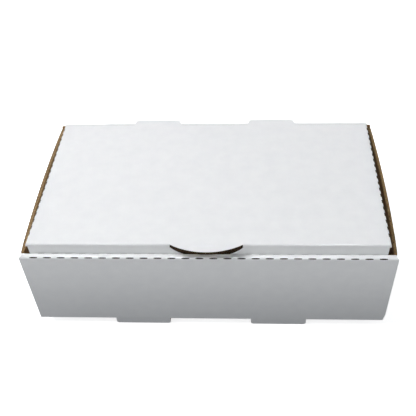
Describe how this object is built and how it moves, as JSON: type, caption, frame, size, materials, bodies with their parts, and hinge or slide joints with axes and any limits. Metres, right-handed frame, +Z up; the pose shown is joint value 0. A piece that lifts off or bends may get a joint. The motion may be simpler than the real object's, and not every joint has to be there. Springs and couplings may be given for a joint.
{
  "type": "catering box",
  "caption": "Low white corrugated catering box folded from a flat blank, with perforated folds, a roll-over front wall and a hinged tuck-in lid with a half-moon thumb tab.",
  "frame": {"origin": "middle of the footprint, on the floor that the box stands on", "axes": "+X to the right of someone who faces the front wall, +Y from the front wall to the lid's hinge at the back, +Z up"},
  "size_m": [0.345, 0.2046, 0.1116],
  "materials": {
    "white_board": "matte white liner outside, bare brown board inside and at the cut edges"
  },
  "bodies": {
    "tray": {"tray": "white_board"},
    "lid": {"lid": "white_board"}
  },
  "joints": [
    {"name": "lid_hinge", "type": "hinge", "parent": "tray", "child": "lid", "pos_m": [0, 0.09489, 0.09613], "axis": [-1, 0, 0], "range_deg": [0, 180]}
  ]
}
